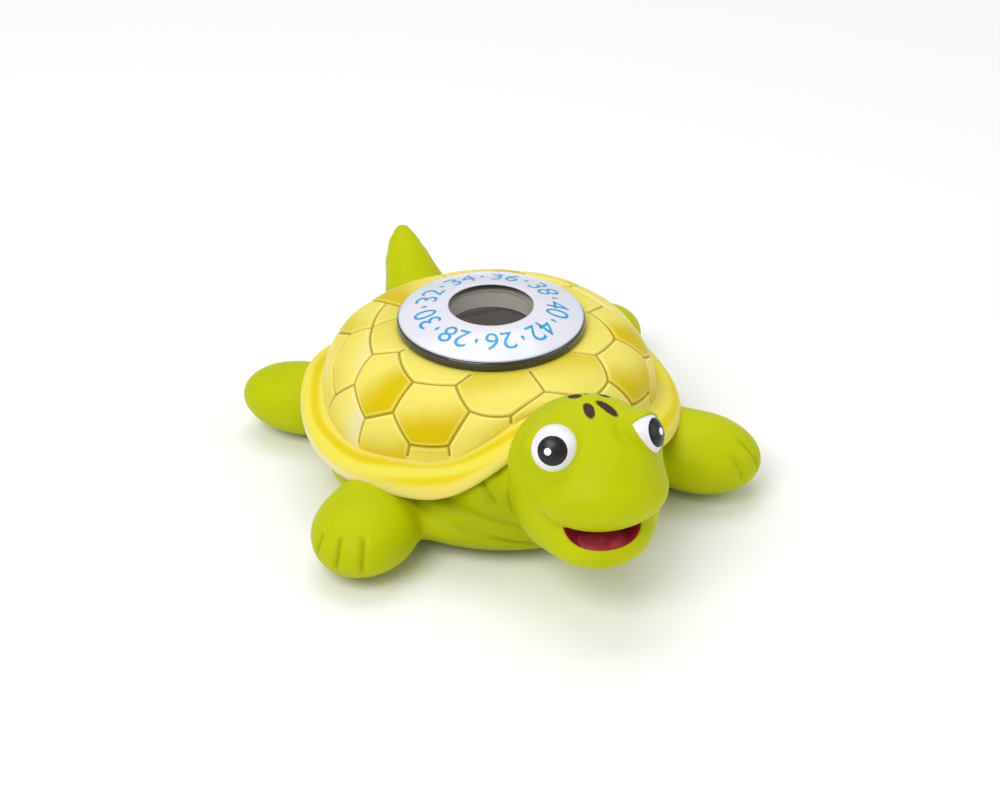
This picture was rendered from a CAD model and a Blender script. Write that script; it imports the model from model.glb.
"""Looks of the floating bath thermometer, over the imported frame.

Lengths in this file are millimetres, turned into metres where a mesh is made. +Z is up, the head is
towards -Y and the pod's axis is the Z axis. The soft vinyl of the turtle is made from distance
functions, polygonised into smooth closed meshes; the carapace and the pod's cap are swept outlines.
"""

import math

import bmesh
import bpy
import numpy as np
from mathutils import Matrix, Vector
from mathutils.kdtree import KDTree


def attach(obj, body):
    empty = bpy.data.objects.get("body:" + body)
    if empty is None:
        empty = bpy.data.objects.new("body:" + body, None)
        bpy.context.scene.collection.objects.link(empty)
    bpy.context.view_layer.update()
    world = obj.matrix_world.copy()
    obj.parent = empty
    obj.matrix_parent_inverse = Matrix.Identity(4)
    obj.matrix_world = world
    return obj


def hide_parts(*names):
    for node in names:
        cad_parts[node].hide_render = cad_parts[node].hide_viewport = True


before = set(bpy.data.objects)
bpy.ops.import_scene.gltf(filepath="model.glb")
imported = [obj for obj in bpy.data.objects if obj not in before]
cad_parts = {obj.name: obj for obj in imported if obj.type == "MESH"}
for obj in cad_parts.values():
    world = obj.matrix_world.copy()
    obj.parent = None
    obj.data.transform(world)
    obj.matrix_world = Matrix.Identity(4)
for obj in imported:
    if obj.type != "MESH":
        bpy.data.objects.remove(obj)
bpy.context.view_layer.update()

MM = 0.001

# ------------------------------------------------------------------ numbers shared with the CAD
LAND_Z = 40.6
LAND_R = 23.4
OPENING_R = 20.6
WELL_R = 20.3
FLANGE_R = 23.1
FLANGE_Z = 40.7
EDGE_Z = 43.1
CROWN_RISE = 3.0
WINDOW_R = 10.4
RING_R = 22.6
LENS_T = 1.8
FILM_T = 0.25
HEAD_AT = (0.0, -58.5, 30.0)
HEAD_TURN = -11.0
EYE_R = 5.65
# Each eyeball's centre and the way its socket faces, in the head's own frame.
# Each eye: its middle, and the planes of its lid edges as a direction and a distance along it.
EYES = [((-9.1, -3.9, 12.1), [((-0.42, -0.78, 0.46), 2.6)]),
        ((10.7, -2.75, 12.4), [((0.78, -0.12, 0.61), 1.3), ((0.43, -0.76, -0.49), -1.7)])]



# ------------------------------------------------------------------ distance functions
def turned(x, y, degrees):
    a = math.radians(degrees)
    return math.cos(a) * x + math.sin(a) * y, -math.sin(a) * x + math.cos(a) * y


def egg(p, centre, axes, turn=0.0, pitch=0.0, lean=0.0):
    """An ellipsoid turned about Z, then pitched about its own X, then leaned about its own Y."""
    x, y, z = p[0] - centre[0], p[1] - centre[1], p[2] - centre[2]
    x, y = turned(x, y, turn)
    y, z = turned(y, z, pitch)
    z, x = turned(z, x, lean)
    k0 = np.sqrt((x / axes[0]) ** 2 + (y / axes[1]) ** 2 + (z / axes[2]) ** 2) + 1e-9
    k1 = np.sqrt((x / axes[0] ** 2) ** 2 + (y / axes[1] ** 2) ** 2 + (z / axes[2] ** 2) ** 2) + 1e-9
    return k0 * (k0 - 1.0) / k1


def round_cone(p, a, b, ra, rb):
    a, b = np.array(a, float), np.array(b, float)
    ba = b - a
    h = ((p[0] - a[0]) * ba[0] + (p[1] - a[1]) * ba[1] + (p[2] - a[2]) * ba[2]) / (ba @ ba)
    h = np.clip(h, 0, 1)
    gap = [(p[i] - a[i] - h * ba[i]) ** 2 for i in range(3)]
    return np.sqrt(gap[0] + gap[1] + gap[2]) - (ra + (rb - ra) * h)


def taper(p, a, b, ra, rb):
    """Like round_cone, but with its sides exactly tangent to both end balls."""
    a, b = np.array(a, float), np.array(b, float)
    ba = b - a
    length2, fall = ba @ ba, ra - rb
    side2 = length2 - fall * fall
    pa = [p[i] - a[i] for i in range(3)]
    y = pa[0] * ba[0] + pa[1] * ba[1] + pa[2] * ba[2]
    z = y - length2
    x2 = sum((pa[i] * length2 - ba[i] * y) ** 2 for i in range(3))
    y2, z2, k = y * y * length2, z * z * length2, fall * abs(fall) * x2
    flank = (np.sqrt(x2 * side2 / length2) + y * fall) / length2 - ra
    near_b = np.sqrt(x2 + z2) / length2 - rb
    near_a = np.sqrt(x2 + y2) / length2 - ra
    return np.where(np.sign(z) * side2 * z2 > k, near_b, np.where(np.sign(y) * side2 * y2 < k, near_a, flank))


def join(a, b, k):
    """Union with a fillet of about k."""
    h = np.maximum(k - np.abs(a - b), 0.0) / k
    return np.minimum(a, b) - h * h * h * k / 6.0


def cut(a, b, k):
    """Intersection with a rounded edge of about k."""
    return -join(-a, -b, k)


def crease(p, a, b, radius, depth):
    """How much a soft pressed line from a to b takes off a surface."""
    return -depth * np.exp(-(np.maximum(round_cone(p, a, b, 0, 0), 0) / radius) ** 2)


# ------------------------------------------------------------------ the turtle's trunk
def front_flipper(q):
    upper = round_cone(q, (28, -12, 9.5), (37, -20, 9.4), 9.6, 9.3)
    mitt = egg(q, (43.6, -27.5, 9.2), (12.8, 16.6, 9.1), turn=40)
    return join(upper, mitt, 6)


def rear_flippers(p):
    """The right one is tucked in and the left one stretched out, as if paddling."""
    right = join(egg(p, (-38.4, 35, 9.6), (10.0, 15.0, 8.9), turn=52),
                 round_cone(p, (-28, 26, 10), (-37, 33, 10), 9, 8.2), 4)
    left = join(egg(p, (43.5, 33.0, 9.7), (10.6, 14.0, 8.9), turn=-72),
                round_cone(p, (28, 26, 10), (39, 31, 10), 9, 8.4), 4)
    return np.minimum(right, left)


TAIL = [((0.8, 44, 16.5), 9.6), ((-0.1, 50.7, 24.9), 8.0), ((-0.5, 55.5, 31.0), 5.8),
        ((-0.4, 58.3, 34.5), 4.05), ((0, 60.3, 37.1), 2.25)]


def tail(p):
    d = np.full(p[0].shape, 99.0)
    for (a, ra), (b, rb) in zip(TAIL, TAIL[1:]):
        d = join(d, taper(p, a, b, ra, rb), 0.6)
    return d


# Lines pressed into the skin, each through points on it: toes, then folds of the neck.
TOES = [((-56.1, -31.9, 12.9), (-57.2, -32.7, 10.6), (-57.8, -31.9, 7.5)),
        ((-53.5, -36.6, 14.0), (-54.8, -38.6, 11.0), (-55.3, -38.2, 6.2)),
        ((-48.7, -39.3, 14.4), (-49.9, -41.8, 11.0), (-50.3, -41.8, 6.1)),
        ((51.0, -36.0, 15.8), (53.4, -39.4, 12.4), (54.6, -39.6, 8.0)),
        ((46.8, -40.4, 14.0), (48.2, -42.2, 11.4), (49.2, -42.4, 7.5)),
        ((40.8, -41.2, 14.4), (41.8, -43.8, 11.4), (42.6, -44.6, 7.0))]
NECK_FOLDS = [((19.4, -38.8, 24.9), (17.4, -45.1, 19.3), (13.9, -48.1, 16.6)),
              ((13.6, -43.5, 29.6), (15.7, -46.1, 25.0), (14.6, -47.3, 17.7)),
              ((31.1, -29.0, 15.1), (26.5, -37.4, 11.8), (20.2, -42.8, 9.7), (8.4, -46.2, 6.9))]


def line_distance(p, lines):
    """How far each point is from the nearest of some bent lines."""
    nearest = 99.0
    for line in lines:
        for a, b in zip(line, line[1:]):
            nearest = np.minimum(nearest, round_cone(p, a, b, 0, 0))
    return nearest


def pressed(distance, width, depth):
    """How much a soft pressed line takes off the surface beside it."""
    return depth * np.exp(-(np.maximum(distance, 0) / width) ** 2)


def trunk(p):
    x, y, z = p
    q = (np.abs(x), y, z)
    d = join(egg(q, (0, -2, 9.5), (42.4, 46.4, 14.5)), egg(q, (0, 0, 18), (37, 40, 15.5)), 3)
    d = join(d, front_flipper(q), 5)
    d = join(d, rear_flippers(p), 5)
    d = join(d, tail(p), 5)
    d = join(d, egg(q, (0, -31, 19), (25, 20, 13.5)), 1.6)
    d = join(d, egg(q, (0, -43, 22), (16.5, 16, 13.5), pitch=15), 1.6)
    d = cut(d, -z, 3.0)
    d = d + pressed(line_distance(p, TOES), 0.75, 0.85)
    d = d + pressed(line_distance(q, NECK_FOLDS), 1.2, 0.95)
    radius = np.hypot(x, y)
    tube = np.maximum(np.maximum(radius - 22.5, z - 37.6), -z)
    d = join(d, tube, 1.0)
    return cut(d, WELL_R - radius, 0.6)


# ------------------------------------------------------------------ the head
def mouth(h):
    """The hollow of the open mouth, cut into the lower jaw only."""
    return egg(h, (0.3, -12.0, -3.5), (9.2, 7.0, 6.5), pitch=14)


def muzzle(h):
    snout = egg(h, (1.2, -6.3, 1.5), (15.5, 12.9, 8.7), pitch=-6)
    return join(snout, egg(h, (3.2, -5.2, 5.6), (11.2, 11.2, 9.0)), 4)


def head(p):
    x, y = turned(p[0] - HEAD_AT[0], p[1] - HEAD_AT[1], HEAD_TURN)
    h = (x, y, p[2] - HEAD_AT[2])
    q = (np.abs(x), y, h[2])
    d = egg(h, (-0.3, 3.5, 2.7), (17.9, 16, 16))
    for centre, lids in EYES:
        d = join(d, egg(h, (centre[0], centre[1] + 2.2, centre[2] - 1.4), (7.0, 6.8, 6.2)), 3)
    low = join(egg(q, (7, 1, -6.8), (9.8, 11, 9.5)), egg(h, (0.6, -5, -9.6), (13.0, 13.0, 7.8)), 5)
    d = join(d, cut(low, -mouth(h), 0.8), 5)
    open_skin = 1.0
    for centre, lids in EYES:
        gap = [h[i] - centre[i] for i in range(3)]
        ball = np.sqrt(gap[0] ** 2 + gap[1] ** 2 + gap[2] ** 2) - EYE_R
        behind = ball - 2.0
        for facing, rim in lids:
            behind = np.maximum(behind, rim - gap[0] * facing[0] - gap[1] * facing[1] - gap[2] * facing[2])
        if len(lids) > 1:
            d = join(d, ball - 0.45, 1.0)
        d = cut(d, -behind, 0.4)
        open_skin = open_skin * np.clip(ball / 3.0, 0.0, 1.0)
    above = np.clip((h[2] + 5.0) / 8.0, 0, 1) * open_skin
    return join(d, muzzle(h), 0.6 + 4.4 * above)


# ------------------------------------------------------------------ polygoniser
def surface_mesh(field, low, high, pitch, polish=3):
    """Closed quad mesh of field = 0 in a box, on a grid, with its corners moved onto the surface."""
    axes = [np.arange(low[i], high[i] + pitch, pitch) for i in range(3)]
    X, Y, Z = np.meshgrid(*axes, indexing="ij")
    values = field((X, Y, Z)).astype(np.float32)
    inside = values < 0
    n = values.shape
    count = np.zeros((n[0] - 1, n[1] - 1, n[2] - 1), np.int16)
    for i in (0, 1):
        for j in (0, 1):
            for k in (0, 1):
                count += inside[i:n[0] - 1 + i, j:n[1] - 1 + j, k:n[2] - 1 + k]
    active = (count > 0) & (count < 8)
    number = -np.ones(active.shape, np.int64)
    cells = np.argwhere(active)
    number[active] = np.arange(len(cells))
    total = np.zeros((len(cells), 3))
    hits = np.zeros(len(cells))
    for a in range(3):
        step = np.eye(3, dtype=int)[a]
        others = [b for b in range(3) if b != a]
        for u in (0, 1):
            for v in (0, 1):
                off = np.zeros(3, int)
                off[others[0]], off[others[1]] = u, v
                p0 = cells + off
                p1 = p0 + step
                f0 = values[p0[:, 0], p0[:, 1], p0[:, 2]]
                f1 = values[p1[:, 0], p1[:, 1], p1[:, 2]]
                hit = (f0 < 0) != (f1 < 0)
                t = np.where(hit, f0 / np.where(hit, f0 - f1, 1), 0)
                total[hit] += (p0 + t[:, None] * step)[hit]
                hits[hit] += 1
    points = (total / hits[:, None] * pitch + np.array(low)).T
    quads = []
    for a in range(3):
        b, c = (a + 1) % 3, (a + 2) % 3
        first = [slice(1, n[i] - 1) for i in range(3)]
        first[a] = slice(0, n[a] - 1)
        second = list(first)
        second[a] = slice(1, n[a])
        s0, s1 = inside[tuple(first)], inside[tuple(second)]
        for flip in (False, True):
            base = np.argwhere(~s0 & s1 if flip else s0 & ~s1)
            base[:, b] += 1
            base[:, c] += 1
            corners = []
            for u, v in ((0, 0), (-1, 0), (-1, -1), (0, -1)):
                at = base.copy()
                at[:, b] += u
                at[:, c] += v
                corners.append(number[at[:, 0], at[:, 1], at[:, 2]])
            quad = np.stack(corners, 1)
            quads.append(quad[:, ::-1] if flip else quad)
    e = 0.02
    for _ in range(polish):
        d = field(points)
        slope = []
        for a in range(3):
            ahead, behind = points.copy(), points.copy()
            ahead[a] += e
            behind[a] -= e
            slope.append((field(ahead) - field(behind)) / (2 * e))
        slope = np.stack(slope)
        move = np.clip(d / ((slope ** 2).sum(0) + 1e-6), -pitch, pitch)
        points = points - move * slope
    return points.T, np.concatenate(quads)


def add_mesh(name, points, faces, material, body, smooth=True):
    mesh = bpy.data.meshes.new(name)
    points = np.asarray(points, float) * MM
    mesh.from_pydata(points.tolist(), [], [list(map(int, f)) for f in faces])
    mesh.update()
    if smooth:
        mesh.shade_smooth()
    piece = bpy.data.objects.new(name, mesh)
    bpy.context.scene.collection.objects.link(piece)
    mesh.materials.append(material)
    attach(piece, body)
    return piece


def store(piece, name, values):
    """Keep one number per corner of a mesh, for its material to read."""
    layer = piece.data.attributes.new(name, "FLOAT", "POINT")
    layer.data.foreach_set("value", np.asarray(values, np.float32))


# ------------------------------------------------------------------ material kit
class Term:
    """A value in a node tree. Arithmetic on it adds Math nodes."""

    def __init__(self, tree, socket):
        self.tree = tree
        self.socket = socket

    def math(self, operation, *others):
        node = self.tree.nodes.new("ShaderNodeMath")
        node.operation = operation
        for i, value in enumerate((self, *others)):
            if isinstance(value, Term):
                self.tree.links.new(value.socket, node.inputs[i])
            else:
                node.inputs[i].default_value = value
        return Term(self.tree, node.outputs[0])

    def __add__(self, other):
        return self.math("ADD", other)

    def __sub__(self, other):
        return self.math("SUBTRACT", other)

    def __mul__(self, other):
        return self.math("MULTIPLY", other)

    def __rmul__(self, other):
        return self.math("MULTIPLY", other)

    def __radd__(self, other):
        return self.math("ADD", other)

    def __rsub__(self, other):
        return (self * -1.0) + other

    def squared(self):
        return self.math("MULTIPLY", self)

    def root(self):
        return self.math("SQRT")

    def ramp(self, start, end):
        """0 at start and 1 at end, eased; start may be the larger."""
        node = self.tree.nodes.new("ShaderNodeMapRange")
        node.interpolation_type = "SMOOTHSTEP"
        flip = start > end
        node.inputs["From Min"].default_value = min(start, end)
        node.inputs["From Max"].default_value = max(start, end)
        node.inputs["To Min"].default_value = 1.0 if flip else 0.0
        node.inputs["To Max"].default_value = 0.0 if flip else 1.0
        self.tree.links.new(self.socket, node.inputs["Value"])
        return Term(self.tree, node.outputs[0])


class Look:
    """A material under construction: its coordinates in millimetres and its principled shader."""

    def __init__(self, name):
        self.material = bpy.data.materials.new(name)
        self.material.use_nodes = True
        self.tree = self.material.node_tree
        self.shader = self.tree.nodes["Principled BSDF"]
        place = self.tree.nodes.new("ShaderNodeTexCoord")
        scale = self.tree.nodes.new("ShaderNodeVectorMath")
        scale.operation = "SCALE"
        scale.inputs["Scale"].default_value = 1000.0
        self.tree.links.new(place.outputs["Object"], scale.inputs[0])
        self.place = scale.outputs[0]
        split = self.tree.nodes.new("ShaderNodeSeparateXYZ")
        self.tree.links.new(self.place, split.inputs[0])
        self.x, self.y, self.z = (Term(self.tree, split.outputs[i]) for i in range(3))

    def noise(self, scale, detail=3.0, roughness=0.5, stretch=None):
        node = self.tree.nodes.new("ShaderNodeTexNoise")
        node.inputs["Scale"].default_value = scale
        node.inputs["Detail"].default_value = detail
        node.inputs["Roughness"].default_value = roughness
        place = self.place
        if stretch:
            wide = self.tree.nodes.new("ShaderNodeVectorMath")
            wide.operation = "MULTIPLY"
            wide.inputs[1].default_value = stretch
            self.tree.links.new(place, wide.inputs[0])
            place = wide.outputs[0]
        self.tree.links.new(place, node.inputs["Vector"])
        return Term(self.tree, node.outputs[0])

    def stored(self, name):
        node = self.tree.nodes.new("ShaderNodeAttribute")
        node.attribute_name = name
        return Term(self.tree, node.outputs["Fac"])

    def mix(self, first, second, factor):
        """A colour between two, each a tuple or the result of an earlier mix."""
        node = self.tree.nodes.new("ShaderNodeMix")
        node.data_type = "RGBA"
        for socket, value in ((node.inputs[6], first), (node.inputs[7], second)):
            if isinstance(value, tuple):
                socket.default_value = (*value, 1.0)
            else:
                self.tree.links.new(value, socket)
        if isinstance(factor, Term):
            self.tree.links.new(factor.socket, node.inputs[0])
        else:
            node.inputs[0].default_value = factor
        return node.outputs[2]

    def set(self, name, value):
        socket = self.shader.inputs[name]
        if isinstance(value, Term):
            self.tree.links.new(value.socket, socket)
        elif isinstance(value, bpy.types.NodeSocket):
            self.tree.links.new(value, socket)
        elif isinstance(value, tuple) and len(value) == 3 and socket.type == "RGBA":
            socket.default_value = (*value, 1.0)
        else:
            socket.default_value = value

    def bump(self, height, strength, distance):
        node = self.tree.nodes.new("ShaderNodeBump")
        node.inputs["Strength"].default_value = strength
        node.inputs["Distance"].default_value = distance * MM
        self.tree.links.new(height.socket, node.inputs["Height"])
        self.tree.links.new(node.outputs[0], self.shader.inputs["Normal"])


def srgb(code):
    """A colour written as six hexadecimal digits, made linear."""
    parts = [int(code[i:i + 2], 16) / 255 for i in (0, 2, 4)]
    return tuple(p / 12.92 if p <= 0.04045 else ((p + 0.055) / 1.055) ** 2.4 for p in parts)


def vinyl_surface(look, roughness=0.46):
    """Soft vinyl: a fine pebble, faint moulding waves, and uneven sheen from handling."""
    grain = look.noise(2.6, 4.0, 0.6)
    waves = look.noise(0.12, 2.0)
    look.bump(grain * 0.35 + waves * 3.0, 0.35, 0.10)
    look.set("Roughness", look.noise(0.25, 3.0) * 0.14 + (roughness - 0.07))
    look.set("Subsurface Weight", 0.12)
    look.set("Subsurface Radius", (0.0022, 0.0020, 0.0006))
    look.set("Specular IOR Level", 0.09)


GREENS = srgb("B6BE00"), srgb("BEC503"), srgb("9CA600")


def green_vinyl(look):
    """The moulded colour: slowly varying, deeper near the floor and in the hollow by the neck."""
    light, dark, deep = GREENS
    colour = look.mix(light, dark, look.noise(0.06, 2.0).ramp(0.35, 0.65))
    under = look.z.ramp(9.0, 0.0) * 0.35
    hollow = look.y.ramp(-22.0, -36.0) * look.z.ramp(30.0, 20.0) * look.x.squared().ramp(1000.0, 400.0)
    return look.mix(look.mix(colour, deep, under), deep, hollow * 0.55)


def body_paint():
    look = Look("green_vinyl")
    colour = green_vinyl(look)
    line = look.stored("fold")
    look.set("Base Color", look.mix(colour, srgb("7E8800"), line.ramp(0.75, 0.15) * 0.55))
    vinyl_surface(look)
    return look.material


def head_paint():
    """The same vinyl with the painted mouth and the sprayed freckles of the head."""
    look = Look("green_vinyl_head")
    a = math.radians(HEAD_TURN)
    dx, dy = look.x - HEAD_AT[0], look.y - HEAD_AT[1]
    hx = dx * math.cos(a) + dy * math.sin(a)
    hy = dx * -math.sin(a) + dy * math.cos(a)
    hz = look.z - HEAD_AT[2]
    colour = look.mix(GREENS[0], GREENS[1], look.noise(0.06, 2.0).ramp(0.35, 0.65))
    fuzz = look.noise(1.2, 2.0) * 0.25 - 0.12
    for cx, cy, rx, ry, turn in FRECKLES:
        u, v = hx - cx, hy - cy
        t = math.radians(turn)
        across = (u * math.cos(t) + v * math.sin(t)) * (1 / rx)
        along = (u * -math.sin(t) + v * math.cos(t)) * (1 / ry)
        spot = ((across.squared() + along.squared()).root() + fuzz).ramp(1.12, 0.80)
        spot = spot * hz.ramp(8.0, 9.0)
        colour = look.mix(colour, srgb("3E1226"), spot * 0.96)
    inside = look.stored("mouth").ramp(-0.25, 0.0)
    throat = look.mix(srgb("C42C4C"), srgb("86281A"), hy.ramp(-13.5, -9.0))
    colour = look.mix(colour, throat, inside)
    look.set("Base Color", colour)
    vinyl_surface(look)
    return look.material


FRECKLES = [(-0.3, 0.8, 1.35, 2.9, 0), (4.1, 1.6, 1.4, 3.5, 33), (-1.8, 8.5, 1.7, 2.0, 0),
            (5.3, 8.8, 1.4, 2.0, 0), (1.0, 9.4, 0.4, 0.8, 0)]

GRID = 0.6
HEAD_GRID = 0.36

points, faces = surface_mesh(trunk, (-64, -62, -2), (64, 68, 45), GRID)
turtle_body = add_mesh("turtle_body", points, faces, body_paint(), "turtle")
store(turtle_body, "fold", np.minimum(line_distance(points.T, TOES),
                                      line_distance((np.abs(points[:, 0]), *points.T[1:]), NECK_FOLDS)))
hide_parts("body_shell")

points, faces = surface_mesh(head, (-22, -82, 8), (22, -36, 52), HEAD_GRID)
turtle_head = add_mesh("turtle_head", points, faces, head_paint(), "turtle")
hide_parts("body_shell")


def head_frame(points):
    x, y = turned(points[:, 0] - HEAD_AT[0], points[:, 1] - HEAD_AT[1], HEAD_TURN)
    return x, y, points[:, 2] - HEAD_AT[2]


in_head = head_frame(points)
store(turtle_head, "mouth", np.minimum(-mouth(in_head), muzzle(in_head) - 0.35))


# ------------------------------------------------------------------ eyes and tongue
def head_point(x, y, z):
    """A point given in the head's own frame."""
    x, y = turned(x, y, -HEAD_TURN)
    return Vector((x + HEAD_AT[0], y + HEAD_AT[1], z + HEAD_AT[2]))


def lathe(outline, sides, axis=Vector((0, 0, 1)), at=Vector((0, 0, 0))):
    """Points and faces of a closed outline of (radius, height) turned about an axis.

    An outline that starts and ends on the axis closes there with a single corner.
    """
    side = axis.orthogonal().normalized()
    other = axis.cross(side)
    points, faces = [], []
    capped = outline[0][0] < 1e-6
    body = outline[1:-1] if capped else outline
    for i in range(sides):
        a = 2 * math.pi * i / sides
        out = side * math.cos(a) + other * math.sin(a)
        points += [at + out * r + axis * h for r, h in body]
    n = len(body)
    last = n - 1 if capped else n
    for i in range(sides):
        j = (i + 1) % sides
        for k in range(last):
            m = (k + 1) % n
            faces.append((i * n + k, i * n + m, j * n + m, j * n + k))
    if capped:
        points += [at + axis * outline[0][1], at + axis * outline[-1][1]]
        for i in range(sides):
            j = (i + 1) % sides
            faces.append((i * n, j * n, len(points) - 2))
            faces.append((j * n + n - 1, i * n + n - 1, len(points) - 1))
    return [tuple(p) for p in points], faces


def add_lathe(name, outline, sides, material, body, **where):
    points, faces = lathe(outline, sides, **where)
    piece = add_mesh(name, points, faces, material, body)
    mesh = bmesh.new()
    mesh.from_mesh(piece.data)
    bmesh.ops.recalc_face_normals(mesh, faces=mesh.faces)
    mesh.to_mesh(piece.data)
    mesh.free()
    return piece


def near(look, point):
    """Distance of the shaded point from a fixed one."""
    dx, dy, dz = look.x - point.x, look.y - point.y, look.z - point.z
    return (dx.squared() + dy.squared() + dz.squared()).root()


PUPIL_R = 3.6
GLINT_R = 0.85


def eye_paint(name, pupil, glint):
    """White enamel with a pupil and a glint, each a round patch about a point of the ball."""
    look = Look(name)
    wobble = look.noise(2.0, 2.0) * 0.10 - 0.05
    white = look.mix(srgb("F2F1F6"), srgb("E8E6EE"), look.noise(0.2, 2.0).ramp(0.35, 0.65))
    rim = (near(look, pupil) + wobble).ramp(PUPIL_R + 0.06, PUPIL_R - 0.06)
    iris = look.mix(srgb("120E11"), srgb("242026"), look.noise(0.9, 3.0).ramp(0.3, 0.75))
    colour = look.mix(white, iris, rim)
    colour = look.mix(colour, srgb("FFFFFF"), near(look, glint).ramp(GLINT_R + 0.05, GLINT_R - 0.05))
    look.set("Base Color", colour)
    look.set("Roughness", look.noise(0.5, 2.0) * 0.10 + 0.30)
    look.set("Specular IOR Level", 0.30)
    look.set("Coat Weight", 0.15)
    look.set("Coat Roughness", 0.25)
    look.bump(look.noise(0.4, 2.0), 0.06, 0.05)
    return look.material


def add_eye(which, name, look_at, glint_shift):
    centre = head_point(*EYES[which][0])
    gaze = (head_point(*look_at) - head_point(0, 0, 0)).normalized()
    across = (head_point(1, 0, 0) - head_point(0, 0, 0)).normalized()
    pupil = centre + gaze * EYE_R
    glint = centre + (gaze + across * glint_shift[0] + Vector((0, 0, glint_shift[1]))).normalized() * EYE_R
    outline = []
    for i in range(41):
        a = math.pi * i / 40
        r, h = EYE_R * math.sin(a), -EYE_R * math.cos(a)
        lift = 0.07 if h > EYE_R * 0.80 else 0.0
        outline.append((r * (1 + lift / EYE_R), h + lift * max(h, 0) / EYE_R))
    outline[0] = (0.0, outline[0][1])
    outline[-1] = (0.0, outline[-1][1])
    paint = eye_paint(name + "_enamel", pupil, glint)
    eye = add_lathe(name, outline, 80, paint, "turtle", axis=gaze, at=centre)
    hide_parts("body_shell")
    return eye


add_eye(0, "eye_right", (-0.33, -0.80, 0.42), (-0.20, 0.0))
add_eye(1, "eye_left", (0.72, -0.54, 0.42), (0.1, 0.02))


def tongue(p):
    x, y = turned(p[0] - HEAD_AT[0], p[1] - HEAD_AT[1], HEAD_TURN)
    h = (x, y, p[2] - HEAD_AT[2])
    d = egg(h, (0.4, -11.3, -9.1), (6.5, 5.2, 1.6), pitch=14)
    return d - crease(h, (1.0, -20, -8.6), (1.0, -5, -7.6), 0.8, 0.4)


def tongue_paint():
    look = Look("tongue_paint")
    look.set("Base Color", look.mix(srgb("BB3952"), srgb("9C2E40"), look.noise(0.4).ramp(0.35, 0.65)))
    look.set("Roughness", look.noise(0.8, 3.0) * 0.15 + 0.28)
    look.bump(look.noise(2.2, 3.0), 0.2, 0.08)
    return look.material


points, faces = surface_mesh(tongue, (-12, -84, 10), (14, -60, 24), 0.5)
tongue_piece = add_mesh("tongue", points, faces, tongue_paint(), "turtle")
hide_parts("body_shell")


# ------------------------------------------------------------------ carapace
def bump_at(angle, at, width, power=2.0):
    return np.exp(-(np.abs(angle - at) / width) ** power)


def fold_at(angle):
    radius = 41.0 + 2.3 * bump_at(angle, 180, 60) - 4.2 * bump_at(angle, 0, 35)
    rise = 17.0 * bump_at(angle, 0, 33, 2.2) + 3.0 * bump_at(angle, 125, 28)
    return radius, 20.4 + rise + 2.4 * bump_at(angle, 55, 17)


def brim_at(angle):
    radius = 47.3 + 1.2 * bump_at(angle, 180, 50) - 0.8 * bump_at(angle, 0, 20)
    rise = 19.0 * bump_at(angle, 0, 28, 2.6) + 4.5 * bump_at(angle, 125, 26) + 0.9 * bump_at(angle, 34, 14)
    return radius, 16.8 + rise + 1.5 * bump_at(angle, 52, 16)


def bezier(corners, u):
    """Points of a cubic curve whose corners are arrays of (radius, height) pairs."""
    a, b, c, d = [np.stack([np.broadcast_to(v, u.shape) for v in corner], -1) for corner in corners]
    u = u[..., None]
    return (1 - u) ** 3 * a + 3 * (1 - u) ** 2 * u * b + 3 * (1 - u) * u * u * c + u ** 3 * d


def dome_corners(angle, inset=0.0, drop=0.0):
    fr, fz = fold_at(angle)
    width, height = fr - LAND_R, LAND_Z - fz
    outline = [(LAND_R, LAND_Z), (LAND_R + 0.60 * width, LAND_Z - 0.04 * height),
               (fr + 0.02 * width, fz + 0.62 * height), (fr, fz)]
    return [(r - inset, z - drop) for r, z in outline]


def dome_point(angle, u):
    """Position on the dome, from an angle about the axis and a share of the way down."""
    outline = bezier(dome_corners(np.abs(angle)), u)
    turn = np.radians(angle)
    return np.stack([outline[..., 0] * np.sin(turn), -outline[..., 0] * np.cos(turn), outline[..., 1]], -1)


# Corners of the scutes on one side: degrees from the head, and the share of the way down the dome.
CORNERS = {
    "p0": (0, 0.0), "p": (0, 0.13), "q": (0, 0.46), "q1": (0, 1.0), "r": (15.5, 0.77), "r1": (15.5, 1.0),
    "b0": (34, 0.0), "b": (40, 0.18), "c": (31, 0.50), "d": (37.5, 0.86), "d1": (37, 1.0),
    "e": (51.5, 0.86), "e1": (52.5, 1.0), "f": (61, 0.60), "a": (60, 0.25), "h0": (84, 0.0),
    "h": (84, 0.06), "g": (92, 0.25), "i": (72.5, 0.74), "i1": (74.5, 1.0), "j": (85.5, 0.55),
    "k": (93.5, 0.77), "k1": (99, 1.0), "m": (115, 0.19), "n0": (122, 0.0), "l": (116, 0.40),
    "o": (105, 0.66), "w": (127, 0.64), "w1": (125, 1.0), "v": (141, 0.82), "v1": (141, 1.0),
    "t": (140, 0.18), "t0": (136, 0.0), "s": (148, 0.50), "x": (164, 0.77), "x1": (165, 1.0),
    "y": (180, 0.46), "y1": (180, 1.0), "z": (180, 0.13), "z0": (180, 0.0),
}
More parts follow.
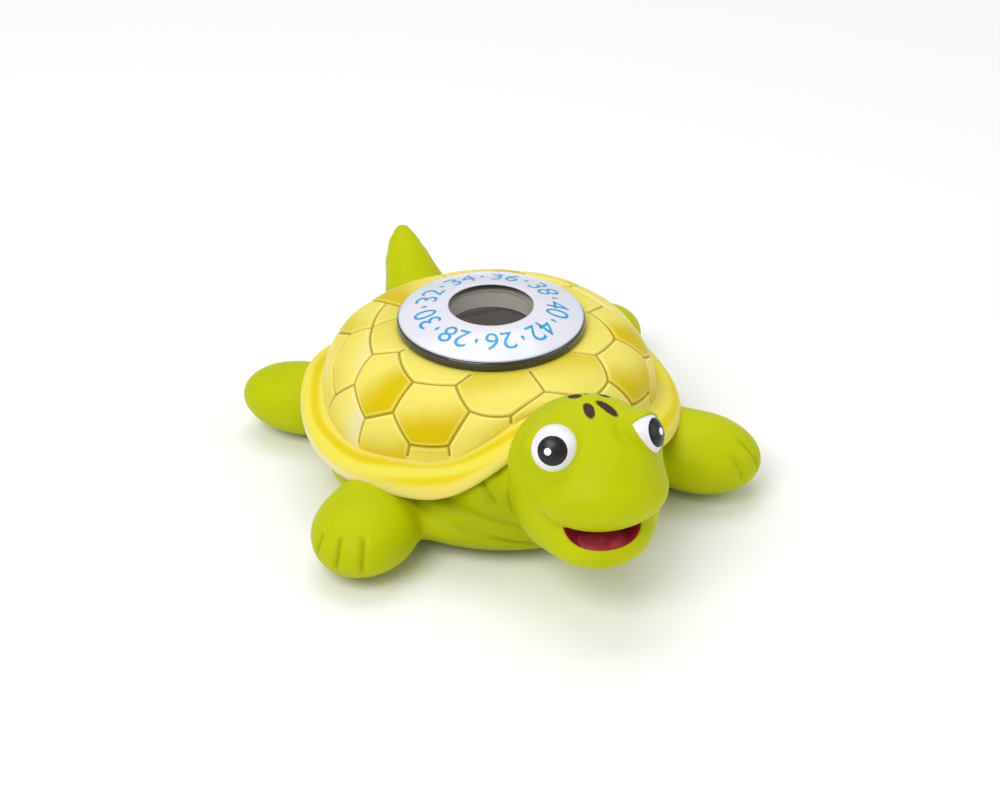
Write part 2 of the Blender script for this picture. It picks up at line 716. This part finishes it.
# Each scute: its corners in order, which way its spray deepens, how deep, and how bare it is left.
SCUTES = [
    ("p0 p q r c b b0", 60, 0.5, 0.0), ("a b c d e f", 250, 1.0, 0.0), ("h a f i j g", 200, 1.0, 0.05),
    ("g m l o k j", 300, 0.5, 0.55), ("m t s v w l", 240, 0.9, 0.2), ("b0 b a h h0", 90, 0.3, 0.0),
    ("h0 h g m n0", 20, 0.3, 0.1), ("n0 m t t0", 60, 0.4, 0.1), ("t0 t s x y z z0", 200, 0.8, 0.1),
    ("q r r1 q1", 270, 0.6, 0.1), ("r c d d1 r1", 200, 0.3, 0.1), ("d e e1 d1", 90, 0.8, 0.0),
    ("e f i i1 e1", 250, 0.8, 0.1), ("i j k k1 i1", 0, 0.3, 0.75), ("k o l w w1 k1", 120, 0.4, 0.7),
    ("w v v1 w1", 200, 0.7, 0.3), ("v s x x1 v1", 250, 0.7, 0.2), ("x y y1 x1", 60, 0.6, 0.1),
]


def groove_points():
    """Points along every groove of both sides, close enough together to measure from."""
    seen, marks = set(), []
    for names, *_ in SCUTES:
        names = names.split()
        for first, second in zip(names, names[1:] + names[:1]):
            edge = tuple(sorted((first, second)))
            ends = np.array([CORNERS[n] for n in edge], float)
            on_rim = all(u in (0.0, 1.0) for u in ends[:, 1])
            if edge in seen or on_rim:
                continue
            seen.add(edge)
            t = np.linspace(0, 1, 120)[:, None]
            line = ends[0] * (1 - t) + ends[1] * t
            if edge == ("q", "q1") or edge == ("y", "y1"):
                continue
            for side in (-1, 1):
                marks.append(dome_point(side * line[:, 0], line[:, 1]))
    return np.concatenate(marks)


def inside_outline(angle, u, corners):
    """Which (angle, share) points are inside a polygon."""
    hit = np.zeros(angle.shape, bool)
    for (a0, u0), (a1, u1) in zip(corners, corners[1:] + corners[:1]):
        if u0 == u1:
            continue
        crosses = (u0 > u) != (u1 > u)
        at = a0 + (u - u0) / (u1 - u0) * (a1 - a0)
        hit ^= crosses & (angle < at)
    return hit


def ease(v, start, end):
    t = np.clip((v - start) / (end - start), 0, 1)
    return t * t * (3 - 2 * t)


def distance_to(points, marks):
    """Distance of each point from the nearest mark."""
    tree = KDTree(len(marks))
    for i, mark in enumerate(marks):
        tree.insert(mark, i)
    tree.balance()
    return np.array([tree.find(p)[2] for p in points])


def carapace_mesh():
    sides = 800
    dome_n, brim_n, lip_n, inner_n = ((136, 38, 12, 14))
    turn = np.linspace(-180, 180, sides, endpoint=False)
    angle = np.abs(turn)[:, None]
    fr, fz = fold_at(angle)
    br, bz = brim_at(angle)
    u = np.linspace(0, 1, dome_n)[None, :]
    dome = bezier(dome_corners(angle), u + angle * 0)
    v = np.linspace(0, 1, brim_n + 1)[None, 1:] + angle * 0
    roll = [(fr, fz), (fr + 2.2, fz - 0.9), (br - 0.1, bz + 4.2), (br, bz)]
    brim = bezier(roll, v)
    w = np.linspace(0, 1, lip_n + 1)[None, 1:] + angle * 0
    lip = bezier([(br, bz), (br - 0.1, bz - 1.8), (br - 1.5, bz - 2.0), (br - 4.0, bz - 0.7)], w)
    back = np.linspace(1, 0, inner_n)[None, :] + angle * 0
    inner = bezier(dome_corners(angle, 2.2, 1.8), back)
    flat = angle * 0
    bore = np.stack([np.concatenate([flat + OPENING_R, flat + OPENING_R, flat + OPENING_R + 0.3], 1),
                     np.concatenate([flat + LAND_Z - 1.8, flat + LAND_Z - 0.3, flat + LAND_Z], 1)], -1)
    rows = np.concatenate([dome, brim, lip, inner, bore], 1)
    n = rows.shape[1]
    t = np.radians(turn)[:, None]
    xyz = np.stack([rows[..., 0] * np.sin(t), -rows[..., 0] * np.cos(t), rows[..., 1]], -1)

    # grooves pressed into the dome, along its normal
    skin = xyz[:, :dome_n].reshape(-1, 3)
    gap = distance_to(skin, groove_points()).reshape(sides, dome_n)
    across = np.roll(xyz, -1, 0) - np.roll(xyz, 1, 0)
    along = np.zeros_like(xyz)
    along[:, 1:-1] = xyz[:, 2:] - xyz[:, :-2]
    along[:, 0], along[:, -1] = along[:, 1], along[:, -2]
    normal = np.cross(along, across)
    normal /= np.linalg.norm(normal, axis=-1, keepdims=True) + 1e-9
    normal *= np.sign(normal[:, :1, 2:3])
    press = 0.36 * ease(gap, 0.66, 0.16) - 0.06 * np.exp(-((gap - 0.85) / 0.3) ** 2)
    swell = 0.22 * (1 - np.exp(-(gap / 2.6) ** 2)) - 0.11
    fade = ease(np.linspace(0, 1, dome_n), -0.004, 0.004)[None, :] * ease(np.linspace(1, 0, dome_n), 0.0, 0.03)
    xyz[:, :dome_n] -= normal[:, :dome_n] * ((press - swell) * fade)[..., None]

    # spray patterns
    values = {name: np.zeros((sides, n)) for name in ("gap", "deep", "bare", "band", "across")}
    values["gap"] += 3.0
    values["gap"][:, :dome_n] = np.minimum(gap + 3 * (1 - fade), 3)
    grid_a, grid_u = np.broadcast_arrays(angle, u)
    for names, heading, depth, bare in SCUTES:
        corners = [CORNERS[c] for c in names.split()]
        hit = inside_outline(grid_a, grid_u, corners)
        middle = np.mean(corners, 0)
        h = math.radians(heading)
        lean = (grid_a - middle[0]) / 16 * math.cos(h) - (grid_u - middle[1]) / 0.36 * math.sin(h)
        values["deep"][:, :dome_n][hit] = (depth * ease(lean, -0.9, 1.0))[hit]
        values["bare"][:, :dome_n][hit] = (bare * ease(-lean, -0.6, 1.0))[hit]
    stripe = ease(v, 0.02, 0.25) * ease(1 - v, 0.10, 0.35)
    values["band"][:, dome_n:dome_n + brim_n] = stripe
    values["across"][:, dome_n:dome_n + brim_n] = v
    side = 0.25 + 0.7 * ease(angle, 35, 80)
    values["bare"][:, dome_n:dome_n + brim_n] = ease(v, 0.80, 1.0) * side
    values["bare"][:, dome_n + brim_n:] = side
    i, j = np.meshgrid(np.arange(sides), np.arange(n), indexing="ij")
    i2, j2 = (i + 1) % sides, (j + 1) % n
    quads = np.stack([i * n + j, i * n + j2, i2 * n + j2, i2 * n + j], -1).reshape(-1, 4)
    return xyz.reshape(-1, 3), quads, {k: x.reshape(-1) for k, x in values.items()}


def carapace_paint():
    look = Look("yellow_vinyl")
    mottle = look.noise(0.10, 2.0)
    deep = (look.stored("deep") + (mottle - 0.5) * 0.5).ramp(0.05, 0.85)
    colour = look.mix(srgb("EBDC68"), srgb("D4BB03"), deep)
    streak = look.stored("across") + (look.noise(0.025, 1.0) - 0.5) * 1.2
    band = look.mix(srgb("E8DC54"), srgb("E0CB10"), (streak * 10.0).math("SINE").ramp(-0.7, 1.0))
    fine = (streak * 47.0).math("SINE").ramp(0.2, 1.0) * look.noise(0.08, 2.0).ramp(0.45, 0.65)
    band = look.mix(band, srgb("DCC40C"), fine * 0.45)
    colour = look.mix(colour, band, look.stored("band"))
    bare = (look.stored("bare") + (look.noise(0.15, 2.0) - 0.5) * 0.4).ramp(0.15, 0.95)
    colour = look.mix(colour, srgb("EADFBE"), bare * 0.85)
    gap = look.stored("gap")
    colour = look.mix(colour, srgb("FBF0A0"), gap.ramp(0.45, 0.62) * gap.ramp(1.15, 0.75) * 0.35)
    colour = look.mix(colour, srgb("85730C"), gap.ramp(0.38, 0.13) * 0.75)
    look.set("Base Color", colour)
    vinyl_surface(look, 0.40)
    return look.material


points, faces, values = carapace_mesh()
carapace = add_mesh("carapace_skin", points, faces, carapace_paint(), "turtle")
for name, numbers in values.items():
    store(carapace, name, numbers)
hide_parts("carapace")

# ------------------------------------------------------------------ pod: cap, printed ring
def lens_top(radius):
    """Height of the cap's domed face: level over the window and falling away to the edge."""
    share = np.clip((np.asarray(radius, float) - WINDOW_R) / (RING_R - WINDOW_R), 0, None)
    return EDGE_Z + CROWN_RISE * (1 - share ** 1.5)


def cap_outline():
    rows = [(0.0, float(lens_top(0)))]
    rows += [(r, float(lens_top(r))) for r in np.linspace(0.8, RING_R, 44)]
    rows += [(22.85, EDGE_Z - 0.08), (23.02, EDGE_Z - 0.28), (FLANGE_R, EDGE_Z - 0.55)]
    rows += [(FLANGE_R, 42.0), (FLANGE_R, 41.2), (23.0, 40.85), (22.8, FLANGE_Z), (20.3, FLANGE_Z)]
    rows += [(20.0, 40.5), (20.0, 38.3), (19.9, 38.2), (18.3, 38.2), (18.2, 38.3), (18.2, 40.5)]
    rows += [(r, float(lens_top(r)) - LENS_T) for r in np.linspace(18.2, 0.8, 34)]
    return rows + [(0.0, float(lens_top(0)) - LENS_T)]


def lens_paint():
    """Smoked clear plastic: see-through over the window, dark and glossy at the flange."""
    look = Look("smoked_lens")
    radius = (look.x.squared() + look.y.squared()).root()
    smear = look.noise(0.35, 3.0, 0.6)
    colour = look.mix(srgb("57534F"), srgb("2E2B2C"), radius.ramp(22.3, 23.0))
    colour = look.mix(colour, srgb("8A8681"), smear.ramp(0.62, 0.85) * 0.25)
    inner = look.z.ramp(lens_top(0) - LENS_T + 0.1, lens_top(0) - LENS_T - 0.02) * radius.ramp(14.5, 13.5)
    look.set("Base Color", look.mix(colour, srgb("DDD5CB"), inner))
    look.set("Roughness", smear * 0.10 + 0.05)
    look.set("Coat Weight", 0.5)
    look.set("Coat Roughness", 0.03)
    top_face = radius.ramp(WINDOW_R + 0.4, WINDOW_R - 0.2) * look.z.ramp(EDGE_Z - 0.3, EDGE_Z + 0.4)
    look.set("Alpha", top_face * -0.91 + 1.0)
    look.bump(look.noise(0.5, 2.0), 0.05, 0.05)
    return look.material


lens = add_lathe("pod_lens", cap_outline(), 200, lens_paint(), "pod")
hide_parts("lens_cap")


def ring_outline():
    lower = [(r, float(lens_top(r))) for r in np.linspace(WINDOW_R, RING_R, 26)]
    edge = [(RING_R + 0.10, EDGE_Z + 0.05), (RING_R + 0.10, EDGE_Z + 0.16)]
    upper = [(r, float(lens_top(r)) + FILM_T) for r in np.linspace(RING_R, WINDOW_R + 0.1, 26)]
    return lower + edge + upper + [(WINDOW_R, float(lens_top(WINDOW_R)) + 0.16)]


def ring_paint():
    """Glossy white print on clear film, a little lavender, with faint orange peel and dust."""
    look = Look("printed_film")
    tint = look.noise(0.10, 2.0).ramp(0.3, 0.7)
    colour = look.mix(srgb("E4E0EA"), srgb("D9DEEC"), tint)
    radius = (look.x.squared() + look.y.squared()).root()
    rims = radius.ramp(RING_R - 0.35, RING_R) + radius.ramp(WINDOW_R + 0.30, WINDOW_R)
    look.set("Base Color", look.mix(colour, srgb("9A9AA6"), rims * 0.5))
    look.set("Roughness", look.noise(0.4, 3.0) * 0.12 + 0.14)
    look.set("Coat Weight", 0.35)
    look.set("Coat Roughness", 0.08)
    look.bump(look.noise(1.0, 2.0), 0.06, 0.05)
    return look.material


ring = add_lathe("pod_ring", ring_outline(), 200, ring_paint(), "pod")
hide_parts("label_ring")


def ink():
    look = Look("cyan_ink")
    look.set("Base Color", look.mix(srgb("1792CC"), srgb("2BA3D8"), look.noise(0.8, 2.0).ramp(0.35, 0.65)))
    look.set("Roughness", look.noise(1.5, 2.0) * 0.1 + 0.25)
    look.bump(look.noise(3.0, 2.0), 0.1, 0.02)
    return look.material


INK_T = 0.03
NUMBER_R = 13.6
NUMBER_SIZE = 8.0
DROP_R = 16.6


def on_ring(points, angle, foot):
    """Flat marks (x across, y outward) laid on the domed ring at an angle, standing at a radius."""
    points = np.asarray(points, float)
    radius = foot + points[:, 1]
    turn = math.radians(angle) - points[:, 0] / 16.5
    height = lens_top(np.hypot(radius, 0)) + FILM_T + INK_T
    return np.stack([radius * np.cos(turn), radius * np.sin(turn), height], 1)


def number_shape(text):
    """Points and faces of a number, 1 unit tall, from the built-in typeface."""
    curve = bpy.data.curves.new("number", "FONT")
    curve.body = text
    curve.align_x = "CENTER"
    curve.size = 1.0
    curve.resolution_u = 6
    holder = bpy.data.objects.new("number", curve)
    mesh = bpy.data.meshes.new_from_object(holder)
    shape = bmesh.new()
    shape.from_mesh(mesh)
    bmesh.ops.subdivide_edges(shape, edges=shape.edges, cuts=1)
    points = [(v.co.x, v.co.y) for v in shape.verts]
    faces = [[v.index for v in f.verts] for f in shape.faces]
    shape.free()
    bpy.data.objects.remove(holder)
    bpy.data.meshes.remove(mesh)
    return points, faces


def drop_shape(size):
    """A water drop with its point outward."""
    rim = []
    for i in range(28):
        a = 2 * math.pi * i / 28
        pinch = math.sin(a / 2) ** 1.6
        rim.append((0.62 * size * math.sin(a) * pinch, -size * math.cos(a) * -0.9))
    return rim, [list(range(28))]


def print_marks():
    points, faces = [], []

    def place(flat, shape_faces, angle, foot):
        start = len(points)
        points.extend(on_ring(flat, angle, foot).tolist())
        faces.extend([[start + i for i in f] for f in shape_faces])

    for n, number in enumerate(range(26, 44, 2)):
        angle = 255 - n * 40
        flat, shape_faces = number_shape(str(number))
        place([(x * NUMBER_SIZE, y * NUMBER_SIZE) for x, y in flat], shape_faces, angle, NUMBER_R)
        flat, shape_faces = drop_shape(1.0)
        place(flat, shape_faces, angle - 20, DROP_R)
    return points, faces


points, faces = print_marks()
marks = add_mesh("pod_marks", points, faces, ink(), "pod")


# ------------------------------------------------------------------ looks of the CAD nodes
def plastic(name, colour, roughness=0.35, grain=1.8, depth=0.04):
    look = Look(name)
    base = srgb(colour)
    dark = tuple(c * 0.86 for c in base)
    look.set("Base Color", look.mix(base, dark, look.noise(0.15, 3.0).ramp(0.35, 0.75)))
    look.set("Roughness", look.noise(0.5, 4.0) * 0.16 + (roughness - 0.08))
    look.bump(look.noise(grain, 4.0, 0.6), 0.25, depth)
    return look


def metal(name, colour, roughness=0.25, stretch=(0.6, 9.0, 0.6)):
    look = Look(name)
    base = srgb(colour)
    lines = look.noise(1.5, 4.0, 0.6, stretch)
    look.set("Metallic", 1.0)
    look.set("Base Color", look.mix(base, tuple(c * 0.72 for c in base), look.noise(0.3, 3.0).ramp(0.4, 0.8)))
    look.set("Roughness", lines * 0.2 + (roughness - 0.08))
    look.bump(lines, 0.15, 0.03)
    return look


def board_look():
    look = plastic("board_laminate", "1F6B35", 0.35)
    weave = (look.x * 6.0).math("SINE") * (look.y * 6.0).math("SINE")
    look.bump(weave, 0.2, 0.03)
    return look


LOOKS = {
    "pod_case": lambda: plastic("case_abs", "E4E6EA", 0.32),
    "cap_seal": lambda: plastic("gasket_rubber", "1B1B1C", 0.6, 3.0),
    "display_frame": lambda: plastic("frame_plastic", "242325", 0.45),
    "window_bezel": lambda: plastic("bezel_plastic", "DDD5CB", 0.30),
    "lcd_panel": lambda: plastic("display_glass", "0B0A10", 0.22, 0.4, 0.01),
    "zebra_strips": lambda: plastic("connector_rubber", "C98A96", 0.6, 3.0),
    "circuit_board": board_look,
    "board_screws": lambda: metal("screw_steel", "B9BABB", 0.28),
    "controller_chip": lambda: plastic("chip_resin", "19191A", 0.30),
    "alert_leds": lambda: plastic("led_lens", "C92A22", 0.15),
    "passive_parts": lambda: plastic("ceramic", "A58B63", 0.5),
    "crystal": lambda: metal("can_metal", "C9CACC", 0.22),
    "battery_cell": lambda: metal("cell_steel", "C4C6C8", 0.24),
    "battery_contact_negative": lambda: metal("spring_steel", "BDB49E", 0.30),
    "battery_contact_positive": lambda: metal("spring_steel_strip", "BDB49E", 0.30),
    "battery_door": lambda: plastic("door_abs", "DDE0E6", 0.34),
    "door_seal": lambda: plastic("seal_rubber", "161617", 0.55, 3.0),
    "sensor_cap": lambda: metal("stainless_cup", "C8C8C6", 0.20, (4.0, 4.0, 0.5)),
    "thermistor": lambda: plastic("bead_epoxy", "2A2522", 0.25),
    "sensor_leads": lambda: plastic("lead_sleeve", "26262A", 0.45),
    "water_contacts": lambda: metal("stainless_pin", "CBCBC9", 0.18, (4.0, 4.0, 0.5)),
    "contact_wires": lambda: plastic("white_sleeve", "DADADA", 0.45),
    "battery_wires": lambda: plastic("red_sleeve", "B01C1C", 0.45),
}

for node, make in LOOKS.items():
    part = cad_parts.get(node)
    if part is None:
        continue
    part.data.materials.clear()
    part.data.materials.append(make().material)

# ------------------------------------------------------------------ floor, light and camera
def floor():
    mesh = bpy.data.meshes.new("floor")
    span, back = 3.0, 3.0
    mesh.from_pydata([(-span, -span, 0), (span, -span, 0), (span, back, 0), (-span, back, 0)], [], [(0, 1, 2, 3)])
    plane = bpy.data.objects.new("floor", mesh)
    plane.location.z = -0.0002
    bpy.context.scene.collection.objects.link(plane)
    look = Look("floor_paper")
    look.set("Base Color", (0.965, 0.965, 0.965))
    look.set("Roughness", 0.7)
    mesh.materials.append(look.material)


def area_light(name, place, target, size, power, colour=(1, 1, 1)):
    data = bpy.data.lights.new(name, "AREA")
    data.shape = "RECTANGLE"
    data.size, data.size_y = size
    data.energy = power
    data.color = colour
    lamp = bpy.data.objects.new(name, data)
    lamp.location = place
    lamp.rotation_euler = (Vector(target) - Vector(place)).to_track_quat("-Z", "Y").to_euler()
    bpy.context.scene.collection.objects.link(lamp)


floor()
area_light("key", (-0.55, -0.35, 0.75), (0, 0, 0.02), (0.6, 0.5), 4.7)
area_light("fill", (0.75, -0.45, 0.45), (0, 0, 0.02), (0.6, 0.6), 1.4)
area_light("top", (0.05, 0.35, 0.95), (0, 0, 0.02), (0.8, 0.6), 3.0)

world = bpy.data.worlds.new("studio")
world.use_nodes = True
world.node_tree.nodes["Background"].inputs[0].default_value = (1, 1, 1, 1)
world.node_tree.nodes["Background"].inputs[1].default_value = 0.50
bpy.context.scene.world = world
bpy.context.scene.view_settings.view_transform = "Standard"

CAMERA_AZIMUTH = -23.0
CAMERA_ELEVATION = 31.3
CAMERA_DISTANCE = 650.0
CAMERA_TARGET = Vector((0, -8, 20))


def camera():
    a, e = math.radians(CAMERA_AZIMUTH), math.radians(CAMERA_ELEVATION)
    back = Vector((math.sin(a) * math.cos(e), -math.cos(a) * math.cos(e), math.sin(e)))
    data = bpy.data.cameras.new("camera")
    data.sensor_width = 36
    data.lens = 94.8
    data.shift_x = -0.0038
    data.shift_y = 0.0124
    data.clip_start = 0.01
    eye = bpy.data.objects.new("camera", data)
    eye.location = (CAMERA_TARGET + back * CAMERA_DISTANCE) * MM
    eye.rotation_mode = "QUATERNION"
    eye.rotation_quaternion = (-back).to_track_quat("-Z", "Y")
    bpy.context.scene.collection.objects.link(eye)
    bpy.context.scene.camera = eye


camera()
